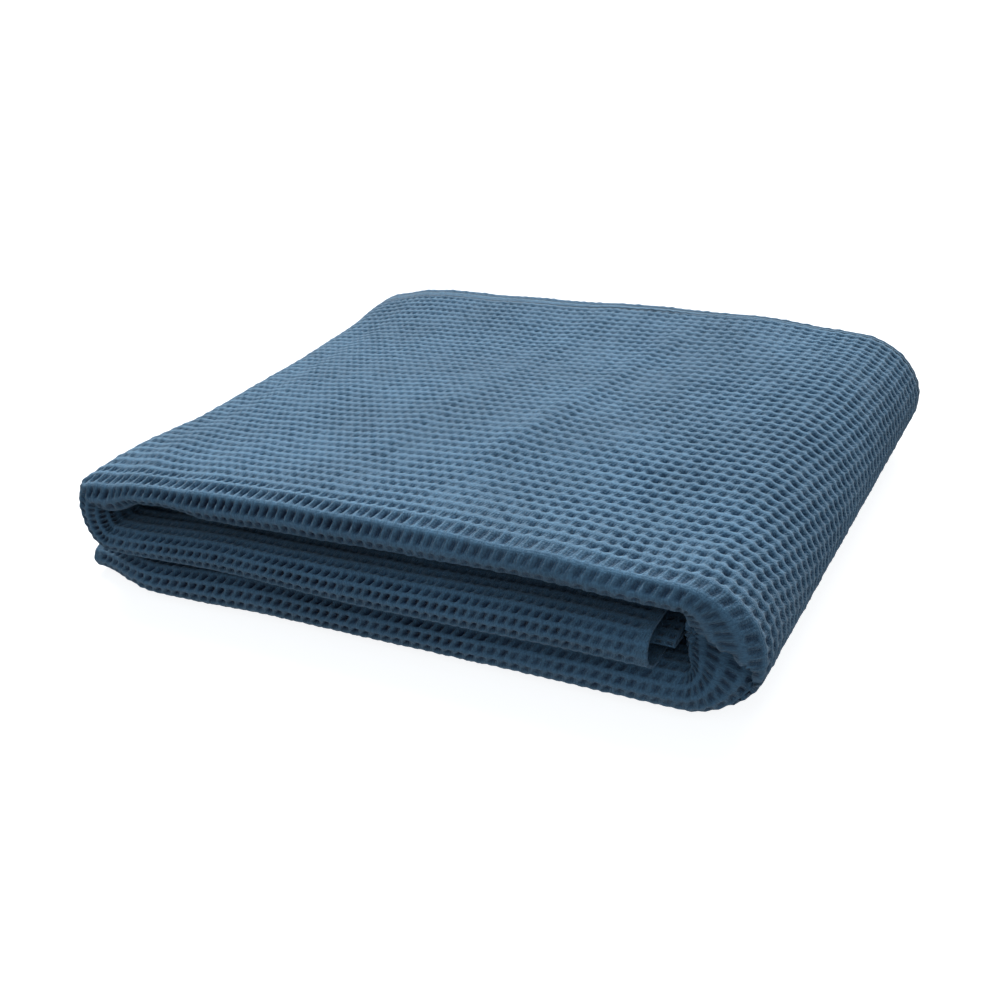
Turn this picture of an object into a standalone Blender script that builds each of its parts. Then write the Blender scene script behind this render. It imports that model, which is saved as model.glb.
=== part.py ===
"""A waffle weave blanket, folded: four layers made by folding it in half twice, then folded in three.

Metres, +Z up. X runs along the rounded front edge, from the left fold to the right fold, and Y runs from
the front to the back edges. The origin is on the floor, under the middle of the folded stack. In the sizes
below x counts from the left fold, y from the front edge, and heights from the floor.
"""
import math

import bpy
import numpy as np

# The folded stack and its cloth
MIDDLE_X = 0.2187       # the middle of the stack's box, which stands over the origin
MIDDLE_Y = 0.1918
CLOTH = 0.0040          # thickness of the lofty waffle cloth
SPACING = 0.0070        # middle of one layer to the middle of the next
STACK = 3 * SPACING     # middle of a section's first layer to the middle of its fourth

# The three sections lie over one another. Each is four layers of cloth with two folds, one inside the
# other, along its front edge. `middle` is the height of the section's middle, and `puff` is what its four
# layers stand apart beyond STACK. The bottom section lies flat, so its height follows from its layers.
SECTIONS = dict(
    middle=[
        dict(x=0.3920, middle=0.0380, puff=-0.0010),
        dict(x=0.3200, middle=0.0388, puff=-0.0008),
        dict(x=0.2200, middle=0.0392, puff=-0.0010),
        dict(x=0.1200, middle=0.0402, puff=-0.0045),
        dict(x=0.0260, middle=0.0362, puff=-0.0060),
    ],
    top=[
        dict(x=0.0260, middle=0.0680, puff=-0.0060),
        dict(x=0.0520, middle=0.0742, puff=-0.0076),
        dict(x=0.0720, middle=0.0753, puff=-0.0076),
        dict(x=0.1050, middle=0.0745, puff=-0.0022),
        dict(x=0.1700, middle=0.0763, puff=-0.0015),
        dict(x=0.2450, middle=0.0776, puff=-0.0022),
        dict(x=0.3200, middle=0.0770, puff=-0.0050),
        dict(x=0.4060, middle=0.0735, puff=-0.0065),
    ],
    bottom=[
        dict(x=0.4060, puff=-0.0006),
        dict(x=0.3000, puff=-0.0015),
        dict(x=0.1900, puff=-0.0012),
        dict(x=0.1200, puff=0.0010),
        dict(x=0.0400, puff=-0.0030),
        dict(x=-0.0105, puff=-0.0050),
    ],
)

# The two folds that join the sections. `reach` is how far the section's middle goes past the straight
# part, `skew` makes it more at the fold's end and less at its start, `puff` is how much further its layers
# stand apart half way round, and `square` is under 1 for a fold that is fuller than a half circle.
FOLDS = dict(
    left=dict(start="middle", end="top", side=-1, reach=0.0205, skew=0.55, puff=0.0010, square=0.80),
    right=dict(start="top", end="bottom", side=1, reach=0.0222, skew=0.30, puff=0.0250, square=0.85),
)

# The slanting crease across each fold's front, where the top section's edge laps over the cloth below.
# `inner` and `outer` are how far round the fold, from the top section, it meets those layers. Under 0 is
# in the top section itself.
CREASES = dict(
    left=dict(inner=-0.04, outer=0.22, depth=0.0080, width=0.05),
    right=dict(inner=0.16, outer=0.66, depth=0.0140, width=0.10),
)
INNER_LEAD = 0.12       # the inner front fold starts to draw back by this share of the fold sooner

# How many steps each stretch takes, in order along the cloth from the middle section's free end
RUN_STEPS = dict(middle=8, left=9, top=13, right=19, bottom=8)
LAYER_STEPS = 7
LAYER_CROWDING = 1.35       # a power over 1 makes a layer's steps shorter towards the front
OUTER_FOLD_STEPS = 7
INNER_FOLD_STEPS = 5
BACK_FOLD_STEPS = 4

# `run` counts those stretches: 1 to 2 is the left fold, 2 to 3 the top section, 3 to 4 the right fold and
# 4 to 5 the bottom section, up to its free corner.
FOLD_RUNS = dict(left=1, right=3)

# How far the front edge lies behind its foremost place
FRONT_EDGE = [
    dict(run=1.0, back=0.0000),
    dict(run=2.0, back=0.0030),
    dict(run=3.0, back=0.0030),
    dict(run=4.0, back=0.0050),
    dict(run=4.3, back=0.0065),
    dict(run=4.6, back=0.0055),
    dict(run=4.84, back=0.0010),
    dict(run=5.0, back=0.0165),
]
EDGE_WANDER = dict(depth=0.0022, per_metre=16.1, per_stretch=1.7, start=0.6)    # waves in radians

FRONT_BULGE = 0.0118        # how far the outer front fold swells forward of its two layers
INNER_SETBACK = 0.0010      # the inner front fold's layers end this far behind the outer fold's
MOUTH_SKEW = 0.0040         # the right fold's inner layers draw back by this at its front

# The middle section's two inner layers stick out beyond the others at its free end. `fade` is the share
# of the section that this takes.
TUCK = dict(length=0.0095, fade=0.20)

# Where each layer ends at the back: two hemmed edges, and the fold that joins the third and fourth
BACK = dict(first=0.3850, second=0.3790, fold=0.3815)

# How the cloth gives above the floor. It lies as folded below FLAT_HEIGHT and gives fully above
# FREE_HEIGHT: its front edges roll off, its left part sags, and long soft waves run over it.
FLAT_HEIGHT = 0.0200
FREE_HEIGHT = 0.0500
FRONT_ROLL = dict(depth=0.0022, fade=0.0450)
SAG = dict(depth=0.0018, x=0.1495, reach_x=0.1360, y=0.1155, reach_y=0.1080)
WAVE_HEIGHT = 0.0010
WAVES = [
    dict(along_x=20.1, along_y=6.2, start=0.8),     # radians for each metre
    dict(along_x=4.2, along_y=13.8, start=0.0),
]

# The top section's lower layers sink behind its front edge. `ends` is the share of the section, at each
# end, that this fades in over.
DROOP = dict(depth=0.0105, fade=0.0900, ends=0.125)

# How the top section swells: a height at each of four places from the front to the back, which differ
# along the stack. It fades out into the folds, and from the top layer down.
TOP_PLACES = dict(front=0.040, crest=0.140, hollow=0.290, back=0.380)
TOP_SHAPE = [
    dict(x=0.030, front=0.0000, crest=0.0005, hollow=-0.0005, back=0.0055),
    dict(x=0.070, front=0.0000, crest=0.0008, hollow=-0.0010, back=0.0050),
    dict(x=0.110, front=0.0005, crest=0.0012, hollow=-0.0020, back=0.0024),
    dict(x=0.190, front=0.0010, crest=0.0042, hollow=-0.0027, back=0.0012),
    dict(x=0.270, front=0.0010, crest=0.0055, hollow=0.0000, back=0.0022),
    dict(x=0.340, front=0.0005, crest=0.0048, hollow=0.0030, back=0.0025),
    dict(x=0.390, front=0.0000, crest=0.0055, hollow=0.0055, back=0.0030),
    dict(x=0.430, front=0.0000, crest=0.0030, hollow=0.0025, back=0.0005),
]
TOP_RUN = dict(start=1.65, full=2.0, fading=3.0, end=3.45)

# Where the left fold bows out and in along the depth of the stack, and how far in from it that fades out
LEFT_EDGE = [
    dict(y=0.000, out=0.0050),
    dict(y=0.050, out=-0.0010),
    dict(y=0.120, out=-0.0095),
    dict(y=0.220, out=-0.0080),
    dict(y=0.300, out=-0.0045),
    dict(y=0.385, out=0.0025),
]
LEFT_EDGE_FADE = 0.0900


def smooth(value):
    """0 up to 0, 1 from 1 on, and an S curve between."""
    value = min(max(value, 0.0), 1.0)
    return value * value * (3 - 2 * value)


def along_table(rows, place, column, key="x"):
    """A column of a table at a place along it, on a smooth curve between its rows."""
    rows = sorted(rows, key=lambda row: row[key])
    if place <= rows[0][key]:
        return rows[0][column]
    for low, high in zip(rows, rows[1:]):
        if place <= high[key]:
            share = smooth((place - low[key]) / (high[key] - low[key]))
            return low[column] + (high[column] - low[column]) * share
    return rows[-1][column]


def section_point(section, share):
    """Middle of a straight section's layers, in X and Z, and how far its outer two stand apart."""
    rows = SECTIONS[section]
    x = rows[0]["x"] + (rows[-1]["x"] - rows[0]["x"]) * share
    stack = STACK + along_table(rows, x, "puff")
    if section == "bottom":
        return x, (stack + CLOTH) / 2, stack
    return x, along_table(rows, x, "middle"), stack


def fold_point(fold, share):
    """The same for a place round one of the two folds that join the sections."""
    start_x, start_z, start_stack = section_point(fold["start"], 1.0)
    end_x, end_z, end_stack = section_point(fold["end"], 0.0)
    turn = math.pi * share
    reach = fold["reach"] * math.sin(turn) ** fold["square"] * (1 + fold["skew"] * (share - 0.5))
    x = start_x + (end_x - start_x) * share + fold["side"] * reach
    z = (start_z + end_z) / 2 + (start_z - end_z) / 2 * math.cos(turn)
    stack = start_stack + (end_stack - start_stack) * share + fold["puff"] * math.sin(turn) ** 2
    return x, z, stack


def run_stations():
    """The stations along the run, from the middle section's free end to the bottom section's."""
    stations = []
    for number, (section, steps) in enumerate(RUN_STEPS.items()):
        for step in range(min(number, 1), steps + 1):
            share = step / steps
            if section in FOLDS:
                x, z, stack = fold_point(FOLDS[section], share)
            else:
                x, z, stack = section_point(section, share)
            stations.append(dict(section=section, share=share, run=number + share, x=x, z=z, stack=stack))
    for at, station in enumerate(stations):
        before = stations[max(at - 1, 0)]
        after = stations[min(at + 1, len(stations) - 1)]
        run_x = after["x"] - before["x"]
        run_z = after["z"] - before["z"]
        length = math.hypot(run_x, run_z)
        station["out_x"] = -run_z / length
        station["out_z"] = run_x / length
    return stations


def front_of(station):
    """How far a station's front edge lies behind the foremost one, with the edge's wander."""
    angle = EDGE_WANDER["per_metre"] * station["x"] + EDGE_WANDER["per_stretch"] * station["run"]
    wander = EDGE_WANDER["depth"] * (1 + math.sin(angle + EDGE_WANDER["start"])) / 2
    return along_table(FRONT_EDGE, station["run"], "back", "run") + wander


def crease_setback(station, turn, lead=0.0):
    """How far the front draws back under each fold's slanting crease, fading out further down.

    It starts by `lead` sooner, as a share of the fold.
    """
    setback = 0.0
    for name, crease in CREASES.items():
        share = station["run"] - FOLD_RUNS[name]
        from_top = 1 - share if name == "left" else share
        line = crease["outer"] + (crease["inner"] - crease["outer"]) * turn / math.pi
        below = smooth((from_top - line + lead) / (crease["width"] + lead))
        fade = 1 - smooth((from_top - line) / (1 - line))
        setback += crease["depth"] * below * fade * math.sin(turn)
    return setback


def straight_layer(y_from, y_to, offset, tucked):
    """One layer of a station with both its ends, in steps that are shorter towards the front."""
    front, back = min(y_from, y_to), max(y_from, y_to)
    shares = [(step / LAYER_STEPS) ** LAYER_CROWDING for step in range(LAYER_STEPS + 1)]
    places = [front + (back - front) * share for share in shares]
    if y_from > y_to:
        places.reverse()
    return [(y, offset, tucked) for y in places]


def half_turn(steps):
    """The angles of a half turn, without its two ends."""
    return [math.pi * step / steps for step in range(1, steps)]


def section_path(station):
    """The four layers of one station, as (y, outward offset, tucked), from the first layer's back edge.

    The first layer is the outermost. Its front fold leads to the fourth, which turns at the back into
    the third, and the inner front fold joins that to the second. The layers are evenly spaced, so the
    inner two lie a sixth of the stack from its middle.
    """
    half = station["stack"] / 2
    inner = station["stack"] / 6
    mouth = MOUTH_SKEW * math.sin(math.pi * station["share"]) if station["section"] == "right" else 0.0
    outer_start = front_of(station) + FRONT_BULGE
    inner_start = outer_start + INNER_SETBACK + inner
    inner_start += max(crease_setback(station, turn, INNER_LEAD) for turn in half_turn(OUTER_FOLD_STEPS))
    back = BACK["fold"] - inner

    def drawn_back(offset):
        return mouth * smooth((half - offset) / (2 * half))

    path = straight_layer(BACK["first"], outer_start, half, 0)
    for turn in half_turn(OUTER_FOLD_STEPS):
        offset = half * math.cos(turn)
        y = outer_start - FRONT_BULGE * math.sin(turn) + drawn_back(offset) + crease_setback(station, turn)
        path.append((y, offset, 0))
    path += straight_layer(outer_start + drawn_back(-half), back, -half, 0)
    for turn in half_turn(BACK_FOLD_STEPS):
        path.append((back + inner * math.sin(turn), inner - half - inner * math.cos(turn), turn / math.pi))
    path += straight_layer(back, inner_start + drawn_back(-inner), -inner, 1)
    for turn in half_turn(INNER_FOLD_STEPS):
        offset = -inner * math.cos(turn)
        path.append((inner_start - inner * math.sin(turn) + drawn_back(offset), offset, 1))
    path += straight_layer(inner_start + drawn_back(inner), BACK["second"], inner, 1)
    return path


def give(x, y):
    """How the free cloth's height differs from the plain fold: rolled front, sag and long waves."""
    front = FRONT_ROLL["depth"] * (1 - smooth(y / FRONT_ROLL["fade"]))
    hollow = smooth(1 - abs(x - SAG["x"]) / SAG["reach_x"]) * smooth(1 - abs(y - SAG["y"]) / SAG["reach_y"])
    swell = WAVE_HEIGHT
    for wave in WAVES:
        swell *= math.sin(wave["along_x"] * x + wave["along_y"] * y + wave["start"])
    return swell - front - SAG["depth"] * hollow


def droop(station, y, offset):
    """How far a point of the top section sinks: its lower layers do, behind the front edge."""
    below = 0.5 - offset / station["stack"]
    ends = smooth(station["share"] / DROOP["ends"]) * smooth((1 - station["share"]) / DROOP["ends"])
    return DROOP["depth"] * below * ends * smooth((y - FRONT_BULGE) / DROOP["fade"])


def top_swell(station, x, y, offset):
    """How far a point of the top section, or of the folds next to it, is raised by its swell."""
    run = station["run"]
    coming = smooth((run - TOP_RUN["start"]) / (TOP_RUN["full"] - TOP_RUN["start"]))
    going = smooth((TOP_RUN["end"] - run) / (TOP_RUN["end"] - TOP_RUN["fading"]))
    upper = 0.5 + offset / station["stack"]
    heights = [dict(y=place, height=along_table(TOP_SHAPE, x, name)) for name, place in TOP_PLACES.items()]
    swell = along_table(heights, y, "height", key="y") * smooth(y / TOP_PLACES["front"])
    return swell * upper * coming * going


def cloth_point(station, y, offset, tucked):
    """Where a point of a station's path lies, in the part's own frame."""
    x = station["x"] + offset * station["out_x"]
    if station["section"] == "middle":
        x += TUCK["length"] * tucked * (1 - smooth(station["share"] / TUCK["fade"]))
    x -= along_table(LEFT_EDGE, y, "out", "y") * (1 - smooth(x / LEFT_EDGE_FADE))
    z = station["z"] + offset * station["out_z"]
    z += give(x, y) * smooth((station["z"] - FLAT_HEIGHT) / (FREE_HEIGHT - FLAT_HEIGHT))
    if station["section"] == "top":
        z -= droop(station, y, offset)
    z += top_swell(station, x, y, offset)
    return x - MIDDLE_X, y - MIDDLE_Y, z


def make_blanket(collection):
    """The one sheet of cloth, as a grid laid along the folds and given the cloth's thickness."""
    rows = [[cloth_point(station, *step) for step in section_path(station)] for station in run_stations()]
    points = np.array(rows)
    stations, around = points.shape[:2]
    faces = [
        (at * around + side, (at + 1) * around + side, (at + 1) * around + side + 1, at * around + side + 1)
        for at in range(stations - 1)
        for side in range(around - 1)
    ]
    mesh = bpy.data.meshes.new("blanket")
    mesh.from_pydata(points.reshape(-1, 3).tolist(), [], faces)
    mesh.shade_smooth()
    blanket = bpy.data.objects.new("blanket", mesh)
    collection.objects.link(blanket)
    thicken = blanket.modifiers.new("cloth thickness", "SOLIDIFY")
    thicken.thickness = CLOTH
    thicken.offset = 0.0
    return blanket


def make_cloth_material():
    """Blue grey cotton, soft and without shine."""
    material = bpy.data.materials.new("blanket cotton")
    material.use_nodes = True
    shader = material.node_tree.nodes["Principled BSDF"]
    shader.inputs["Base Color"].default_value = (0.100, 0.190, 0.290, 1.0)
    shader.inputs["Roughness"].default_value = 0.92
    shader.inputs["Metallic"].default_value = 0.0
    return material


def clear_scene():
    for thing in list(bpy.data.objects):
        bpy.data.objects.remove(thing, do_unlink=True)


def main():
    clear_scene()
    collection = bpy.data.collections.new("folded blanket")
    bpy.context.scene.collection.children.link(collection)
    blanket = make_blanket(collection)
    blanket.data.materials.append(make_cloth_material())


main()
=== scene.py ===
import math

import bpy
import numpy as np
from mathutils import Matrix, Vector


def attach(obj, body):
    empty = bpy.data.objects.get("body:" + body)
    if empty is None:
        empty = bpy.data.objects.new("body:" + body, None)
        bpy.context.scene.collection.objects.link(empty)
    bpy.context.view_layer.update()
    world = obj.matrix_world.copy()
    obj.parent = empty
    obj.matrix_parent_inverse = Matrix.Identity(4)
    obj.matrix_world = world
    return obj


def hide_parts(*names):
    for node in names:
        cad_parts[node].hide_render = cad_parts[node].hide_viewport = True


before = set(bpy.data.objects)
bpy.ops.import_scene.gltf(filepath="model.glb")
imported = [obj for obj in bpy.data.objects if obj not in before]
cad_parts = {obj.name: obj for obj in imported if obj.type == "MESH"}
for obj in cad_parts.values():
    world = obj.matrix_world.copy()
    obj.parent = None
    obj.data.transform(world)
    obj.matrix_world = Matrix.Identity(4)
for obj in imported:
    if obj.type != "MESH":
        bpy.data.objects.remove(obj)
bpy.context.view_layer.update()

# Metres, as in the frame. In the tables x counts from the left fold, y from the front edge and heights
# from the floor. Along the cloth a place is a column and a row of waffle cells: columns count from the
# middle section's free end, rows from the hem at the back of the top layer.


# how the blanket is folded
stack = {
    "middleX": 0.2187,          # the box's middle, which stands over the origin
    "middleY": 0.1918,
    "cloth": 0.0040,            # thickness in the frame's solid
    "layers": 0.0210,           # a section's first layer to its fourth
    "frontBulge": 0.0118,       # the outer front fold swells forward of its layers by this
    "innerSetback": 0.0010,     # the inner front fold stops this far behind the ends of the outer layers
    "mouthSkew": 0.0040,        # the right fold's inner layers draw back by this at its front
    "tuckLength": 0.0095,       # the middle section's inner layers stick out beyond the others
    "tuckFade": 0.20,           # over this share of the section, from its free end
    "firstBack": 0.3850,        # where the layers end at the back: two hems, and the fold between
    "secondBack": 0.3790,
    "foldBack": 0.3815,
}

sections = {
    "middle": [
        dict(x=0.3920, middle=0.0380, puff=-0.0010),
        dict(x=0.3200, middle=0.0388, puff=-0.0008),
        dict(x=0.2200, middle=0.0392, puff=-0.0010),
        dict(x=0.1200, middle=0.0402, puff=-0.0045),
        dict(x=0.0260, middle=0.0362, puff=-0.0060),
    ],
    "top": [
        dict(x=0.0260, middle=0.0674, puff=-0.0030),
        dict(x=0.0520, middle=0.0743, puff=-0.0096),
        dict(x=0.0720, middle=0.0754, puff=-0.0096),
        dict(x=0.1050, middle=0.0745, puff=-0.0022),
        dict(x=0.1700, middle=0.0763, puff=-0.0015),
        dict(x=0.2450, middle=0.0776, puff=-0.0022),
        dict(x=0.3200, middle=0.0770, puff=-0.0050),
        dict(x=0.4060, middle=0.0735, puff=-0.0065),
    ],
    "bottom": [
        dict(x=0.4060, puff=-0.0006),
        dict(x=0.3000, puff=-0.0015),
        dict(x=0.1900, puff=-0.0012),
        dict(x=0.1200, puff=0.0010),
        dict(x=0.0400, puff=-0.0030),
        dict(x=-0.0105, puff=-0.0050),
    ],
}

folds = {
    "left": dict(start="middle", end="top", side=-1, reach=0.0188, skew=1.00, puff=0.0030, square=0.75),
    "right": dict(start="top", end="bottom", side=1, reach=0.0222, skew=0.30, puff=0.0250, square=0.85),
}

creases = {              # across each fold's front, where the top section laps over the cloth below
    "left": dict(run=1, inner=-0.04, outer=0.22, depth=0.0080, width=0.05, wrinkle=0.0004, start=0.85),
    "right": dict(run=3, inner=0.13, outer=0.67, depth=0.0175, width=0.032, wrinkle=0.0013, start=0.60),
}

wrinklePace = 560.0      # radians a metre, of the small upright wrinkles below a crease
wrinkleLean = 3          # they lean over by one part in so many
innerLead = 0.12         # the inner front fold starts to draw back by this share of the fold sooner
turnSteps = 7            # steps round a front fold in which its setback is looked up

runOrder = ("middle", "left", "top", "right", "bottom")

frontEdge = [            # how far the front edge lies behind its foremost place
    dict(run=1.0, back=0.0000),
    dict(run=2.0, back=0.0030),
    dict(run=3.0, back=0.0030),
    dict(run=4.0, back=0.0035),
    dict(run=4.3, back=0.0050),
    dict(run=4.6, back=0.0050),
    dict(run=4.84, back=0.0010),
    dict(run=5.0, back=0.0165),
]
edgeWander = dict(depth=0.0022, perMetre=16.1, perStretch=1.7, start=0.6)

give = {                 # rolled front edges, a sag and long waves, for cloth above the floor
    "flatHeight": 0.0200,
    "freeHeight": 0.0500,
    "rollDepth": 0.0022,
    "rollFade": 0.0450,
    "sagDepth": 0.0018,
    "sagX": 0.1495,
    "sagReachX": 0.1360,
    "sagY": 0.1155,
    "sagReachY": 0.1080,
    "waveHeight": 0.0010,
    "droopDepth": 0.0105,
    "droopFade": 0.0900,
    "droopEnds": 0.125,
}
waves = [
    dict(alongX=20.1, alongY=6.2, start=0.8),
    dict(alongX=4.2, alongY=13.8, start=0.0),
]

leftEdge = [             # where the left fold bows out and in
    dict(y=0.000, out=0.0040),
    dict(y=0.050, out=-0.0010),
    dict(y=0.120, out=-0.0095),
    dict(y=0.220, out=-0.0080),
    dict(y=0.300, out=-0.0045),
    dict(y=0.385, out=0.0025),
]
leftEdgeFade = 0.0900


def softStep(value):
    value = np.clip(value, 0.0, 1.0)
    return value * value * (3 - 2 * value)


def alongRows(rows, place, column, key="x"):
    # one column of a short table, read on a smooth curve between its rows
    rows = sorted(rows, key=lambda row: row[key])
    keys = np.array([row[key] for row in rows])
    values = np.array([row[column] for row in rows])
    at = np.clip(np.searchsorted(keys, place) - 1, 0, len(rows) - 2)
    share = softStep((place - keys[at]) / (keys[at + 1] - keys[at]))
    return values[at] + (values[at + 1] - values[at]) * share


def sectionPoint(name, share):
    rows = sections[name]
    x = rows[0]["x"] + (rows[-1]["x"] - rows[0]["x"]) * share
    layers = stack["layers"] + alongRows(rows, x, "puff")
    if name == "bottom":
        return x, (layers + stack["cloth"]) / 2, layers
    return x, alongRows(rows, x, "middle"), layers


def foldPoint(fold, share):
    startX, startZ, startLayers = sectionPoint(fold["start"], np.array([1.0]))
    endX, endZ, endLayers = sectionPoint(fold["end"], np.array([0.0]))
    turn = math.pi * share
    reach = fold["reach"] * np.sin(turn).clip(0) ** fold["square"] * (1 + fold["skew"] * (share - 0.5))
    x = startX + (endX - startX) * share + fold["side"] * reach
    z = (startZ + endZ) / 2 + (startZ - endZ) / 2 * np.cos(turn)
    layers = startLayers + (endLayers - startLayers) * share + fold["puff"] * np.sin(turn) ** 2
    return x, z, layers


columnWidth = [          # the cloth is drawn out towards the right fold
    dict(run=1.00, width=0.0062),
    dict(run=2.10, width=0.0060),
    dict(run=2.45, width=0.0066),
    dict(run=2.90, width=0.0079),
    dict(run=3.50, width=0.0074),
    dict(run=4.00, width=0.0070),
]
stationsPerStretch = 400


def runTable():
    # the run of the four layers from the middle section's free end to the bottom section's
    share = np.linspace(0, 1, stationsPerStretch, endpoint=False)
    table = {name: [] for name in ("run", "x", "z", "layers")}
    for number, name in enumerate(runOrder):
        shares = np.append(share, 1.0) if name == runOrder[-1] else share
        x, z, layers = foldPoint(folds[name], shares) if name in folds else sectionPoint(name, shares)
        for key, values in zip(table, (number + shares, x, z, layers)):
            table[key].append(values)
    table = {key: np.concatenate(values) for key, values in table.items()}
    alongX, alongZ = np.gradient(table["x"]), np.gradient(table["z"])
    length = np.hypot(alongX, alongZ)
    table["outX"], table["outZ"] = -alongZ / length, alongX / length
    outerX = table["x"] + table["layers"] / 2 * table["outX"]
    outerZ = table["z"] + table["layers"] / 2 * table["outZ"]
    steps = np.hypot(np.diff(outerX), np.diff(outerZ))
    width = alongRows(columnWidth, table["run"], "width", "run")
    table["column"] = np.append(0, np.cumsum(steps / (width[1:] + width[:-1]) * 2))
    return table


run = runTable()
rowLength = 0.0078
frontStretch = 1.28      # rows are this much longer round the top section's front folds
lowerRows = 1.0          # more rows go round the front of the other sections, at each end of the turn
turnEnds = np.array([0, -1, 1, 0, 0, 0, 0, 0])      # so their first front fold starts sooner and ends later
rowStart = 0.35          # rows before the first full ridge


def pathKnots():
    # the rows where the path's seven stretches meet: four layers, two front folds and the back fold
    half, inner = stack["layers"] / 2, stack["layers"] / 6
    front = stack["frontBulge"] + edgeWander["depth"]
    foldBack, innerStart = stack["foldBack"] - inner, front + stack["innerSetback"] + inner
    lengths = [
        stack["firstBack"] - front,
        math.pi * math.hypot(stack["frontBulge"], half) / math.sqrt(2) / frontStretch,
        foldBack - front,
        math.pi * inner,
        foldBack - innerStart,
        math.pi * inner,
        stack["secondBack"] - innerStart,
    ]
    return np.append(0, np.cumsum(lengths)) / rowLength - rowStart


knots = pathKnots()


def creaseSetback(station, turn, lead=0.0):
    setback = 0
    for name, crease in creases.items():
        share = station["run"] - crease["run"]
        fromTop = 1 - share if name == "left" else share
        line = crease["outer"] + (crease["inner"] - crease["outer"]) * turn / math.pi
        below = softStep((fromTop - line + lead) / (crease["width"] + lead))
        fade = 1 - softStep((fromTop - line) / (1 - line))
        wrinkles = crease["wrinkle"] * np.sin(wrinklePace * (station["x"] + station["z"] / wrinkleLean))
        around = np.sin(turn).clip(0) ** crease["start"]
        setback = setback + (crease["depth"] + wrinkles) * below * fade * around
    return setback


def pathPoint(rows, station):
    # where a row lies across the stack: y, offset outwards, and how far it belongs to the inner layers,
    # which lie a sixth of the stack from its middle
    lower = 1 - softStep(station["run"] - 1) * (1 - softStep(station["run"] - 3))
    starts = knots + lower[:, None] * lowerRows * turnEnds
    stretch = np.clip((rows[:, None] >= starts).sum(axis=1) - 1, 0, 6)
    first, last = (np.take_along_axis(starts, (stretch + step)[:, None], 1)[:, 0] for step in (0, 1))
    share = (rows - first) / (last - first)
    turn = math.pi * share
    half, inner = station["layers"] / 2, station["layers"] / 6
    wander = edgeWander["perMetre"] * station["x"] + edgeWander["perStretch"] * station["run"]
    front = alongRows(frontEdge, station["run"], "back", "run")
    front = front + edgeWander["depth"] * (1 + np.sin(wander + edgeWander["start"])) / 2
    outer = front + stack["frontBulge"]
    innerStart = outer + stack["innerSetback"] + inner
    angles = [np.full_like(rows, math.pi * step / turnSteps) for step in range(1, turnSteps)]
    innerStart = innerStart + np.max([creaseSetback(station, angle, innerLead) for angle in angles], axis=0)
    back = stack["foldBack"] - inner
    mouth = stack["mouthSkew"] * np.sin(math.pi * np.clip(station["run"] - 3, 0, 1))

    stretches = [stretch == number for number in range(6)]
    offset = np.select(
        stretches,
        [
            half,
            half * np.cos(turn),
            -half,
            inner - half - inner * np.cos(turn),
            -inner,
            -inner * np.cos(turn),
        ],
        inner,
    )
    mouthShare = mouth * softStep((half - offset) / (2 * half))
    toOuter, toInner = outer + mouthShare, innerStart + mouthShare
    y = np.select(
        stretches,
        [
            stack["firstBack"] + (outer - stack["firstBack"]) * share,
            toOuter - stack["frontBulge"] * np.sin(turn) + creaseSetback(station, turn),
            toOuter + (back - toOuter) * share,
            back + inner * np.sin(turn),
            back + (toInner - back) * share,
            toInner - inner * np.sin(turn),
        ],
        toInner + (stack["secondBack"] - toInner) * share,
    )
    tucked = np.select([stretch < 3, stretch == 3], [0.0 * share, share], 1.0)
    return y, offset, tucked


# how the top lies: a dome that runs off to the left, and two soft creases from front to back
topHeights = dict(frontY=0.040, crestY=0.140, hollowY=0.290, backY=0.380)
topShape = [
    dict(x=0.008, front=0.0035, crest=0.0008, hollow=-0.0016, back=0.0026),
    dict(x=0.036, front=0.0035, crest=0.0008, hollow=-0.0014, back=0.0052),
    dict(x=0.070, front=0.0010, crest=0.0010, hollow=-0.0010, back=0.0058),
    dict(x=0.110, front=0.0005, crest=0.0012, hollow=-0.0020, back=0.0024),
    dict(x=0.190, front=0.0010, crest=0.0042, hollow=-0.0027, back=0.0012),
    dict(x=0.270, front=0.0010, crest=0.0055, hollow=0.0000, back=0.0022),
    dict(x=0.340, front=0.0005, crest=0.0048, hollow=0.0030, back=0.0042),
    dict(x=0.390, front=0.0000, crest=0.0055, hollow=0.0055, back=0.0030),
    dict(x=0.430, front=0.0000, crest=0.0030, hollow=0.0025, back=0.0005),
]
topCreases = [
    dict(frontX=0.176, frontY=0.060, backX=0.219, backY=0.380, height=0.0013, width=0.012),
    dict(frontX=0.258, frontY=0.090, backX=0.288, backY=0.340, height=0.0021, width=0.011),
]
creaseEnds = dict(pace=4, start=0.5)        # a crease comes up over a quarter of its length
topFade = dict(before=0.35, after=0.45)     # shares of the left and right fold that the dome runs out over


def topSwell(x, y):
    places = [topHeights[name] for name in ("frontY", "crestY", "hollowY", "backY")]
    columns = [alongRows(topShape, x, name) for name in ("front", "crest", "hollow", "back")]
    at = np.clip(np.searchsorted(places, y) - 1, 0, 2)
    share = softStep((y - np.take(places, at)) / (np.take(places, at + 1) - np.take(places, at)))
    low, high = np.choose(at, columns[:3]), np.choose(at, columns[1:])
    return (low + (high - low) * share) * softStep(y / topHeights["frontY"])


def topCrease(x, y):
    height = 0
    for crease in topCreases:
        share = (y - crease["frontY"]) / (crease["backY"] - crease["frontY"])
        away = x - crease["frontX"] - (crease["backX"] - crease["frontX"]) * share
        rise = softStep(share * creaseEnds["pace"] + creaseEnds["start"])
        fall = softStep((1 - share) * creaseEnds["pace"] + creaseEnds["start"])
        height = height + crease["height"] * rise * fall * np.exp(-((away / crease["width"]) ** 2))
    return height


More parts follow.
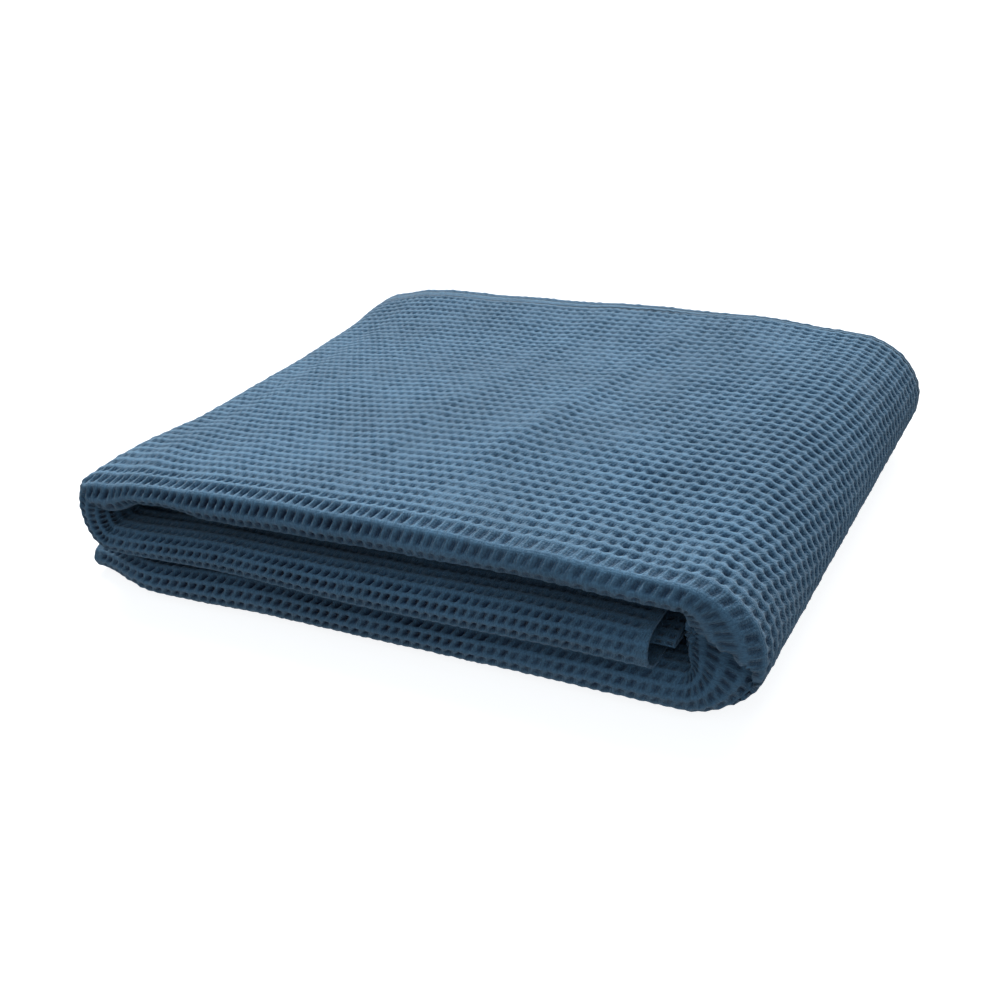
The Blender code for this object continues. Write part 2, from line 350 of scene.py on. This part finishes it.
def giveHeight(x, y):
    front = give["rollDepth"] * (1 - softStep(y / give["rollFade"]))
    hollow = softStep(1 - abs(x - give["sagX"]) / give["sagReachX"])
    hollow = hollow * softStep(1 - abs(y - give["sagY"]) / give["sagReachY"])
    swell = give["waveHeight"]
    for wave in waves:
        swell = swell * np.sin(wave["alongX"] * x + wave["alongY"] * y + wave["start"])
    return swell - front - give["sagDepth"] * hollow


lean = dict(columns=5.3, frontRow=43.5, backRow=2.5, startRun=0.7, fullRun=1.3, fadeRun=4.0, endRun=4.5)


def leanColumns(columns, rows):
    # the weave of the top leans to the right towards the back, and straightens out under the stack
    share = np.clip((lean["frontRow"] - rows) / (lean["frontRow"] - lean["backRow"]), 0, 1)
    place = np.interp(columns, run["column"], run["run"])
    start = softStep((place - lean["startRun"]) / (lean["fullRun"] - lean["startRun"]))
    end = 1 - softStep((place - lean["fadeRun"]) / (lean["endRun"] - lean["fadeRun"]))
    return lean["columns"] * (1 - (1 - share) ** 2) * start * end


def clothPoint(columns, rows):
    # the middle of the cloth at a column and row, in the frame
    column = columns + leanColumns(columns, rows)
    station = {key: np.interp(column, run["column"], run[key]) for key in run}
    y, offset, tucked = pathPoint(rows, station)
    x = station["x"] + offset * station["outX"]
    x = x + stack["tuckLength"] * tucked * (1 - softStep(station["run"] / stack["tuckFade"]))
    x = x - alongRows(leftEdge, y, "out", "y") * (1 - softStep(x / leftEdgeFade))
    z = station["z"] + offset * station["outZ"]
    free = softStep((station["z"] - give["flatHeight"]) / (give["freeHeight"] - give["flatHeight"]))
    z = z + giveHeight(x, y) * free
    upper = 0.5 + offset / station["layers"]
    share = station["run"] - 2
    ends = softStep(share / give["droopEnds"]) * softStep((1 - share) / give["droopEnds"])
    behind = softStep((y - stack["frontBulge"]) / give["droopFade"])
    z = z - give["droopDepth"] * (1 - upper) * ends * behind
    coming = softStep((share + topFade["before"]) / topFade["before"])
    going = softStep((1 + topFade["after"] - share) / topFade["after"])
    z = z + (topSwell(x, y) + topCrease(x, y)) * upper * coming * going
    return np.stack([x - stack["middleX"], y - stack["middleY"], z], axis=-1)


waffle = {
    "depth": 0.0031,            # ridge to the floor of a cell, where the cloth is drawn out
    "flatDepth": 0.53,          # the share of it on the flat of the top
    "alongEdges": (0.36, 1.00),     # of the squared sine: the broad ridge between two rows is below the
    "acrossEdges": (0.16, 0.92),    # first and the floor above the second, and so for columns
    "stretchedAlong": (0.33, 0.96),     # wider cells where the cloth is drawn out, on the right
    "stretchedAcross": (0.27, 0.90),
    "frontAlong": (0.10, 0.78),         # taller cells, close together, on the front
    "frontAcross": (0.22, 0.88),
    "slant": 0.42,              # how far the cells on the front lean over, in columns
    "mound": 0.0004,            # how much the crossings of the ridges stand up
    "moundVariation": 0.9,
    "depthVariation": 0.34,     # in soft patches
    "cellVariation": 0.26,      # from one cell to the next
    "softness": 0.45,           # how much shallower cells are on the right of the fronts
    "wander": 0.10,             # how far cells stray from their place, in cells
    "face": 0.0022,             # the ridges' height over the middle of the cloth
    "lowest": 0.0002,           # where the underside is pressed flat on the floor
    "sheet": 0.0016,            # thickness of the cloth itself
    "probe": 0.02,              # cells either side of a point, to find which way the cloth faces
    "smoothAngle": 75.0,        # degrees
}

# where on the run the cloth is drawn out and where it is softer, and the length of the change to it
zones = {
    "drawn": dict(start=2.65, rise=0.25, end=3.8, fall=0.3),
    "soft": dict(start=2.3, rise=0.5, end=4.0, fall=0.4),
}
freeEnd = 0.35           # it is soft as well this far from the middle section's free end
frontRows = 1.5          # the cells of the fronts come in over so many rows

hems = {
    "left": 2.05,               # rows of hem along the back edges, on the left
    "right": 0.60,              # and on the right, where hardly any of it shows
    "line": 0.38,               # faint cells are outside this share of the hem
    "cells": 0.55,
    "change": 0.1,              # the faint cells start and stop over this share
    "inside": 0.9,              # whole cells start at this share, over twice the change
    "side": 0.7,                # columns of hem along the other edges
    "sideChange": 0.5,
}

noiseWaves = dict(count=5, seedTurn=1.7, waveTurn=2.4, pace=0.21, faster=0.17, seedStart=3.1)
scatterPaces = dict(column=12.9898, row=78.233, scale=43758.5453)


def softNoise(columns, rows, seed):
    # a gentle sum of waves, the same each time
    value = 0
    for turn in range(noiseWaves["count"]):
        angle = seed * noiseWaves["seedTurn"] + turn * noiseWaves["waveTurn"]
        pace = noiseWaves["pace"] + noiseWaves["faster"] * turn
        start = seed * noiseWaves["seedStart"] + turn * turn
        value = value + np.sin(pace * (columns * math.cos(angle) + rows * math.sin(angle)) + start)
    return value / noiseWaves["count"]


columnCount = int(run["column"][-1])
rowCount = int(knots[-1])


def hemPlace(columns, rows):
    # how far a place is from the nearer back edge, 1 at the inner side of the hem
    share = softStep(np.interp(columns, run["column"], run["run"]) - 2)
    width = hems["left"] + (hems["right"] - hems["left"]) * share
    return np.minimum(rows, rowCount - rows) / width


def hemCover(columns, rows):
    # cells are faint on the outer part of a back hem and none are on its inner part
    place = hemPlace(columns, rows)
    change = hems["change"]
    outer = softStep((place - change) / change) * softStep((hems["line"] - place) / change)
    side = softStep((np.minimum(columns, columnCount - columns) - hems["side"]) / hems["sideChange"])
    return (softStep((place - hems["inside"]) / (2 * change)) + hems["cells"] * outer) * side


def scatter(columns, rows):
    # a number between -1 and 1 for each cell or crossing, the same each time
    value = np.sin(np.floor(columns) * scatterPaces["column"] + np.floor(rows) * scatterPaces["row"])
    value = value * scatterPaces["scale"]
    return 2 * (value - np.floor(value)) - 1


def frontShare(rows):
    # 1 round the front folds of the outer layers
    ahead, behind = rows - knots[1] + frontRows, knots[2] + frontRows - rows
    return softStep(ahead / frontRows) * softStep(behind / frontRows)


def zoneShare(place, name):
    # 1 in a zone of the run, with soft ends
    zone = zones[name]
    rise = softStep((place - zone["start"]) / zone["rise"])
    return rise * (1 - softStep((place - zone["end"]) / zone["fall"]))


def hollowDepth(columns, rows):
    # 0 on the ridges and up to about 1 on the floor of a cell
    station = np.interp(columns, run["column"], run["run"])
    front = frontShare(rows)
    drawn = np.maximum(front, zoneShare(station, "drawn"))
    leaning = columns + waffle["slant"] * front * (rows - np.floor(rows) - 0.5)
    hollow = 1
    for place, way in ((leaning, "Across"), (rows, "Along")):
        edges = zip(waffle[way.lower() + "Edges"], waffle["stretched" + way], waffle["front" + way])
        ridge, floor = (
            (1 - front) * ((1 - drawn) * plain + drawn * stretched) + front * atFront
            for plain, stretched, atFront in edges
        )
        hollow = hollow * softStep((np.sin(math.pi * place) ** 2 - ridge) / (floor - ridge))
    hollow = hollow * hemCover(columns, rows) * (waffle["flatDepth"] + (1 - waffle["flatDepth"]) * drawn)
    nearRight = zoneShare(station, "soft") + 1 - softStep(station / freeEnd)
    hollow = hollow * (1 - waffle["softness"] * front * nearRight)
    uneven = waffle["depthVariation"] * softNoise(columns, rows, 3)
    uneven = uneven + waffle["cellVariation"] * scatter(columns, rows)
    return hollow * (1 + uneven)


def wovenPoint(columns, rows):
    strayColumns = waffle["wander"] * softNoise(columns, rows, 1)
    strayRows = waffle["wander"] * softNoise(columns, rows, 2)
    return clothPoint(columns + strayColumns, rows + strayRows)


panelSteps = dict(fine=(4, 7), even=(4, 4), middling=(2, 4), plain=(1, 1))      # across and along a cell
margins = dict(left=4, right=5, beforeFront=4, afterFront=6, back=3, tail=6)     # in cells


def addPanel(name, columns, rows, steps):
    # one panel of the sheet, from its first to its last column and row, with so many steps across and
    # along each cell
    wide, long = (columns[1] - columns[0]) * steps[0], (rows[1] - rows[0]) * steps[1]
    bpy.ops.object.select_all(action="DESELECT")
    bpy.ops.mesh.primitive_grid_add(x_subdivisions=wide, y_subdivisions=long, size=1, calc_uvs=True)
    panel = bpy.context.object
    panel.name = panel.data.name = name
    mesh = panel.data
    flat = np.empty(len(mesh.vertices) * 3, np.float32)
    mesh.vertices.foreach_get("co", flat)
    flat = flat.reshape(-1, 3).astype(float) + 0.5
    column = columns[0] + np.round(flat[:, 0] * wide) / steps[0]
    # rows are turned round, so that the faces point outwards
    row = rows[1] - np.round(flat[:, 1] * long) / steps[1]
    probe = waffle["probe"]
    points = wovenPoint(column, row)
    alongColumns = wovenPoint(column + probe, row) - wovenPoint(column - probe, row)
    alongRow = wovenPoint(column, row - probe) - wovenPoint(column, row + probe)
    normals = np.cross(alongColumns, alongRow)
    normals /= np.linalg.norm(normals, axis=1, keepdims=True)
    mound = np.cos(math.pi * column) ** 2 * np.cos(math.pi * row) ** 2
    mound = mound * (1 + waffle["moundVariation"] * scatter(column + 0.5, row + 0.5))
    hollow = hollowDepth(column, row)
    relief = waffle["face"] + waffle["mound"] * mound - waffle["depth"] * hollow
    points = points + normals * relief[:, None]
    points[:, 2] = np.maximum(points[:, 2], waffle["lowest"])
    coarse = np.full(len(column), float(steps == panelSteps["plain"]))
    # the depth of the cells also goes to the material, where it sets the painted shade in the recesses
    for key, values in (("hollow", hollow), ("hem", hemPlace(column, row)), ("coarse", coarse)):
        layer = mesh.attributes.new(key, "FLOAT", "POINT")
        layer.data.foreach_set("value", values.astype(np.float32))
    mesh.vertices.foreach_set("co", points.astype(np.float32).ravel())
    corner = np.empty(len(mesh.loops), np.int32)
    mesh.loops.foreach_get("vertex_index", corner)
    uv = np.stack([column, row], axis=-1)[corner]
    mesh.uv_layers.active.data.foreach_set("uv", uv.astype(np.float32).ravel())
    mesh.uv_layers.active.name = "cells"
    mesh.update()
    thicken = panel.modifiers.new("cloth thickness", "SOLIDIFY")
    thicken.thickness = waffle["sheet"]
    thicken.offset = -1.0
    bpy.ops.object.modifier_apply(modifier=thicken.name)
    bpy.ops.object.shade_smooth_by_angle(angle=math.radians(waffle["smoothAngle"]))
    return panel


def columnAt(place):
    return int(round(float(np.interp(place, run["run"], run["column"]))))


def makePanels():
    # the top section with its folds is in four panels; the layers inside the stack are coarse ones
    leftStart, rightEnd = columnAt(1.0) - margins["left"], columnAt(4.0) + margins["right"]
    quarter = (rightEnd - leftStart) // 4
    splits = (leftStart, leftStart + quarter, leftStart + 2 * quarter, leftStart + 3 * quarter, rightEnd)
    frontStart = int(knots[1]) - margins["beforeFront"]
    frontEnd = int(math.ceil(knots[2])) + margins["afterFront"]
    backStart, backEnd = int(knots[3]) - margins["back"], int(math.ceil(knots[4])) + margins["back"]
    tailStart = columnCount - margins["tail"]
    plan = [
        ("topLeft", splits[0:2], (0, frontEnd), "fine"),
        ("topMiddleLeft", splits[1:3], (0, frontEnd), "fine"),
        ("topMiddleRight", splits[2:4], (0, frontEnd), "fine"),
        ("topRight", splits[3:5], (0, frontEnd), "fine"),
        ("middleFront", (0, leftStart), (frontStart, frontEnd), "fine"),
        ("bottomFront", (rightEnd, columnCount), (frontStart, frontEnd), "fine"),
        ("middleUnder", (0, leftStart), (0, frontStart), "plain"),
        ("bottomUnder", (rightEnd, tailStart), (0, frontStart), "plain"),
        ("bottomTail", (tailStart, columnCount), (0, frontStart), "even"),
        ("innerFourth", (0, columnCount), (frontEnd, backStart), "plain"),
        ("backFolds", (0, columnCount), (backStart, backEnd), "middling"),
        ("innerLayers", (0, columnCount), (backEnd, rowCount), "plain"),
    ]
    panels = []
    for name, columns, rows, steps in plan:
        panel = addPanel(name, columns, rows, panelSteps[steps])
        panels.append(panel)
        print(name, "columns", columns, "rows", rows, "triangles", 2 * len(panel.data.polygons))
    return panels


cotton = {
    "ridge": (0.121, 0.246, 0.368, 1.0),
    # painted shade: the floor colour is far darker than the ridge, for the shade that falls in the cell
    # recesses
    "floor": (0.006, 0.029, 0.076, 1.0),
    "roughness": 0.92,
    "sheen": 0.22,
    "sheenRoughness": 0.55,
    "specular": 0.15,
    "strokes": 4.0,             # slanting yarns a cell
    "strokeSlant": 1.3,
    "strokeWander": 0.30,
    "strokeHeight": 0.00032,
    # painted shade in the gaps between the slanting yarns
    "strokeShade": 0.16,
    "wallEdges": (0.05, 0.60),  # of the squared sine across the rows: they fade out towards the ridges
    "combAngle": 28.0,          # the loose fibres lie over like this
    "combScale": (7.0, 4.5, 1.0),
    "combDetail": 4.0,
    "curlScale": 1.7,           # and curl a little
    "curl": 3.0,
    # shapes the painted shade in the recesses
    "recessShadePower": 0.8,
    "ribs": 7.0,                # fine yarns a cell, along the ridges
    "ribWander": 2.0,
    "ribPower": 0.8,
    "ribHeight": 0.00010,
    "fuzzScale": 1300.0,
    "fuzzDetail": 3.0,
    "fuzzHeight": 0.00025,
    "patchScale": 14.0,
    "patchTones": (0.3, 0.7, 0.92, 1.08),       # range of the noise, and of the tones made from it
    "fibreTones": (0.32, 0.68, 0.80, 1.20),
    "stitchLines": (0.40, 0.95),      # shares of the hem from a back edge
    "stitchWidth": 0.18,
    # painted shade in the stitch grooves
    "stitchShade": 0.55,
    "stitchDepth": 0.0006,
    "hemInside": (0.9, 1.1),          # the bumped cells, with their painted shade, start here
    "fibreHeight": 0.00048,
}


def addNode(tree, kind, **values):
    node = tree.nodes.new(kind)
    for key, value in values.items():
        setattr(node, key, value)
    return node


def mathNode(tree, operation, first, second=None):
    node = addNode(tree, "ShaderNodeMath", operation=operation)
    for socket, value in zip(node.inputs, (first, second)):
        if value is None:
            continue
        if isinstance(value, (int, float)):
            socket.default_value = value
        else:
            tree.links.new(value, socket)
    return node.outputs[0]


def mixColour(tree, share, first, second):
    node = addNode(tree, "ShaderNodeMix", data_type="RGBA")
    for name, value in (("Factor_Float", share), ("A_Color", first), ("B_Color", second)):
        socket = next(item for item in node.inputs if item.identifier == name)
        if isinstance(value, (int, float, tuple)):
            socket.default_value = value
        else:
            tree.links.new(value, socket)
    return next(item for item in node.outputs if item.identifier == "Result_Color")


def squaredSine(tree, value, power):
    wave = mathNode(tree, "SINE", mathNode(tree, "MULTIPLY", value, math.pi))
    return mathNode(tree, "POWER", mathNode(tree, "MULTIPLY", wave, wave), power)


def noise(tree, vector, scale, detail=2.0):
    node = addNode(tree, "ShaderNodeTexNoise")
    node.inputs["Scale"].default_value = scale
    node.inputs["Detail"].default_value = detail
    tree.links.new(vector, node.inputs["Vector"])
    return node.outputs["Fac"]


def mapRange(tree, value, low, high, toLow=0.0, toHigh=1.0):
    node = addNode(tree, "ShaderNodeMapRange", interpolation_type="SMOOTHSTEP")
    tree.links.new(value, node.inputs["Value"])
    for name, number in (("From Min", low), ("From Max", high), ("To Min", toLow), ("To Max", toHigh)):
        node.inputs[name].default_value = number
    return node.outputs["Result"]


def makeCotton():
    material = bpy.data.materials.new("waffle cotton")
    material.use_nodes = True
    tree = material.node_tree
    shader = tree.nodes["Principled BSDF"]
    cells = addNode(tree, "ShaderNodeUVMap", uv_map="cells")
    place = addNode(tree, "ShaderNodeTexCoord").outputs["Object"]
    parts = addNode(tree, "ShaderNodeSeparateXYZ")
    tree.links.new(cells.outputs["UV"], parts.inputs["Vector"])
    column, row = parts.outputs["X"], parts.outputs["Y"]

    # painted shade in the cell recesses: 1 on the floor of a cell and 0 on its ridges; the layers inside
    # the stack, which have no relief, take it from the cell pattern as bump and as painted shade
    hollow = addNode(tree, "ShaderNodeAttribute", attribute_name="hollow").outputs["Fac"]
    hollow = mathNode(tree, "POWER", hollow, cotton["recessShadePower"])
    coarse = addNode(tree, "ShaderNodeAttribute", attribute_name="coarse").outputs["Fac"]
    hem = addNode(tree, "ShaderNodeAttribute", attribute_name="hem").outputs["Fac"]
    bumpedAndShaded = mapRange(tree, squaredSine(tree, row, 1.0), *waffle["alongEdges"])
    across = mapRange(tree, squaredSine(tree, column, 1.0), *waffle["acrossEdges"])
    bumpedAndShaded = mathNode(tree, "MULTIPLY", mathNode(tree, "MULTIPLY", bumpedAndShaded, across), coarse)
    bumpedAndShaded = mathNode(tree, "MULTIPLY", bumpedAndShaded, mapRange(tree, hem, *cotton["hemInside"]))
    # the coarse layers' cell pattern adds to the painted shade in the recesses
    hollow = mathNode(tree, "ADD", hollow, mathNode(tree, "MULTIPLY", bumpedAndShaded, waffle["flatDepth"]))
    patches = noise(tree, place, cotton["patchScale"])
    fuzz = noise(tree, place, cotton["fuzzScale"], cotton["fuzzDetail"])
    combed = addNode(tree, "ShaderNodeMapping")
    tree.links.new(cells.outputs["UV"], combed.inputs["Vector"])
    combed.inputs["Rotation"].default_value[2] = math.radians(cotton["combAngle"])
    combed.inputs["Scale"].default_value = cotton["combScale"]
    bent = addNode(tree, "ShaderNodeVectorMath", operation="ADD")
    tree.links.new(combed.outputs["Vector"], bent.inputs[0])
    curl = addNode(tree, "ShaderNodeTexNoise")
    curl.inputs["Scale"].default_value = cotton["curlScale"]
    tree.links.new(cells.outputs["UV"], curl.inputs["Vector"])
    curled = addNode(tree, "ShaderNodeVectorMath", operation="SCALE")
    curled.inputs["Scale"].default_value = cotton["curl"]
    tree.links.new(curl.outputs["Color"], curled.inputs[0])
    tree.links.new(curled.outputs["Vector"], bent.inputs[1])
    fibres = noise(tree, bent.outputs["Vector"], 1.0, cotton["combDetail"])

    # yarns that slant over the walls and floor, with painted shade in the gaps between them, and finer ones
    # along the ridges
    slanted = mathNode(tree, "MULTIPLY", row, cotton["strokeSlant"] / cotton["strokes"])
    slant = mathNode(tree, "ADD", column, slanted)
    slant = mathNode(tree, "ADD", slant, mathNode(tree, "MULTIPLY", fibres, cotton["strokeWander"]))
    strokes = squaredSine(tree, mathNode(tree, "MULTIPLY", slant, cotton["strokes"]), 1.0)
    onWalls = mapRange(tree, squaredSine(tree, row, 1.0), *cotton["wallEdges"])
    gaps = mathNode(tree, "MULTIPLY", mathNode(tree, "SUBTRACT", 1.0, strokes), onWalls)
    ribPlace = mathNode(tree, "MULTIPLY", row, cotton["ribs"])
    ribPlace = mathNode(tree, "ADD", ribPlace, mathNode(tree, "MULTIPLY", fibres, cotton["ribWander"]))
    ribs = squaredSine(tree, ribPlace, cotton["ribPower"])

    # lines of stitches along the hems, sunk as grooves and darkened with painted shade
    stitches = 0.0
    for line in cotton["stitchLines"]:
        away = mathNode(tree, "ABSOLUTE", mathNode(tree, "SUBTRACT", hem, line))
        stitched = mapRange(tree, away, 0.0, cotton["stitchWidth"], 1.0, 0.0)
        stitches = mathNode(tree, "ADD", stitched, stitches)

    # painted shade: the colour goes from the ridge colour towards the dark floor colour by the depth of the
    # cell
    shade = mixColour(tree, hollow, cotton["ridge"], cotton["floor"])
    tone = mapRange(tree, patches, *cotton["patchTones"])
    tone = mathNode(tree, "MULTIPLY", tone, mapRange(tree, fibres, *cotton["fibreTones"]))
    # painted shade, in the gaps between the slanting yarns and along the stitch grooves of the hems
    for value, darker in ((gaps, cotton["strokeShade"]), (stitches, cotton["stitchShade"])):
        tone = mathNode(tree, "MULTIPLY", tone, mapRange(tree, value, 0.0, 1.0, 1.0, 1 - darker))
    toned = addNode(tree, "ShaderNodeVectorMath", operation="SCALE")
    tree.links.new(shade, toned.inputs[0])
    tree.links.new(tone, toned.inputs["Scale"])
    tree.links.new(toned.outputs["Vector"], shader.inputs["Base Color"])

    height = mathNode(tree, "MULTIPLY", gaps, -cotton["strokeHeight"])
    reliefs = (
        (ribs, cotton["ribHeight"]),
        (fuzz, cotton["fuzzHeight"]),
        (fibres, cotton["fibreHeight"]),
        (stitches, -cotton["stitchDepth"]),
        (bumpedAndShaded, -waffle["depth"] / 2),
    )
    for value, metres in reliefs:
        height = mathNode(tree, "ADD", height, mathNode(tree, "MULTIPLY", value, metres))
    bump = addNode(tree, "ShaderNodeBump")
    bump.inputs["Strength"].default_value = 1.0
    bump.inputs["Distance"].default_value = 1.0
    tree.links.new(height, bump.inputs["Height"])
    tree.links.new(bump.outputs["Normal"], shader.inputs["Normal"])

    shader.inputs["Roughness"].default_value = cotton["roughness"]
    shader.inputs["Sheen Weight"].default_value = cotton["sheen"]
    shader.inputs["Sheen Roughness"].default_value = cotton["sheenRoughness"]
    shader.inputs["Specular IOR Level"].default_value = cotton["specular"]
    return material


studio = {
    "floorSize": 14.0,
    "floorDrop": 0.0002,        # just under the cloth
    "floorColour": (0.45, 0.45, 0.45, 1.0),
    "floorRoughness": 0.9,
    "floorGlow": 0.88,          # keeps the shadow on the pale floor light
    "keyStrength": 3.55,
    "keySpread": 58.0,          # degrees
    "keyFrom": (-0.42, 1.15, 1.05),
    "skyColour": (0.80, 0.99, 1.16, 1.0),
    "skyAbove": 0.48,
    "skyLevel": 0.135,
    "skyBelow": 0.24,
    "wallGlow": 1.0,
    "wallRadius": 6.8,
    "wallHeight": 6.0,
}

viewpoint = {
    "location": (0.3893, -0.7192, 0.4158),
    "forward": (-0.4380, 0.7811, -0.4450),
    "down": (0.1491, -0.4251, -0.8928),
    "lens": 46.98,
    "sensor": 36.0,
}


def makeBackdrop():
    # a pale floor, and a wall round it for the low views
    bpy.ops.object.select_all(action="DESELECT")
    bpy.ops.mesh.primitive_plane_add(size=studio["floorSize"], location=(0, 0, -studio["floorDrop"]))
    floor = bpy.context.object
    floor.name = "studioFloor"
    bpy.ops.mesh.primitive_cylinder_add(
        radius=studio["wallRadius"],
        depth=studio["wallHeight"],
        end_fill_type="NOTHING",
        location=(0, 0, studio["wallHeight"] / 2 - studio["floorDrop"]),
    )
    wall = bpy.context.object
    wall.name = "studioWall"
    for backdrop, glow in ((floor, studio["floorGlow"]), (wall, studio["wallGlow"])):
        material = bpy.data.materials.new(backdrop.name)
        material.use_nodes = True
        shader = material.node_tree.nodes["Principled BSDF"]
        shader.inputs["Base Color"].default_value = studio["floorColour"]
        shader.inputs["Emission Color"].default_value = (1.0, 1.0, 1.0, 1.0)
        shader.inputs["Emission Strength"].default_value = glow
        shader.inputs["Roughness"].default_value = studio["floorRoughness"]
        shader.inputs["Specular IOR Level"].default_value = 0.0
        backdrop.data.materials.append(material)
        backdrop.visible_diffuse = False
    wall.visible_shadow = False


def makeLights():
    # an even studio: brightest overhead, dimmest at the level of the floor, and a little brighter below it
    world = bpy.data.worlds.new("studio")
    world.use_nodes = True
    tree = world.node_tree
    direction = addNode(tree, "ShaderNodeSeparateXYZ")
    tree.links.new(addNode(tree, "ShaderNodeTexCoord").outputs["Generated"], direction.inputs["Vector"])
    above = mapRange(tree, direction.outputs["Z"], 0.0, 1.0, studio["skyLevel"], studio["skyAbove"])
    below = mapRange(tree, direction.outputs["Z"], -1.0, 0.0, studio["skyBelow"] - studio["skyLevel"], 0.0)
    tree.links.new(mathNode(tree, "ADD", above, below), tree.nodes["Background"].inputs["Strength"])
    tree.nodes["Background"].inputs["Color"].default_value = studio["skyColour"]
    bpy.context.scene.world = world
    bpy.ops.object.light_add(type="SUN", location=studio["keyFrom"])
    key = bpy.context.object
    key.name = "softKey"
    key.data.energy = studio["keyStrength"]
    key.data.angle = math.radians(studio["keySpread"])
    key.rotation_euler = Vector(studio["keyFrom"]).to_track_quat("Z", "Y").to_euler()
    bpy.context.scene.view_settings.view_transform = "Standard"


def makeCamera():
    forward = Vector(viewpoint["forward"]).normalized()
    right = Vector(viewpoint["down"]).cross(forward).normalized()
    up = right.cross(forward)
    bpy.ops.object.camera_add()
    camera = bpy.context.object
    camera.data.sensor_width = viewpoint["sensor"]
    camera.data.lens = viewpoint["lens"]
    turned = Matrix((right, up, -forward)).transposed().to_4x4()
    camera.matrix_world = Matrix.Translation(viewpoint["location"]) @ turned
    bpy.context.scene.camera = camera


print("stage: studio")
makeBackdrop()
makeLights()
makeCamera()

print("stage: blanket")
waffleCotton = makeCotton()
for panel in makePanels():
    panel.data.materials.clear()
    panel.data.materials.append(waffleCotton)
    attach(panel, "root")
    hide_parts("blanket")

print("stage: finish")
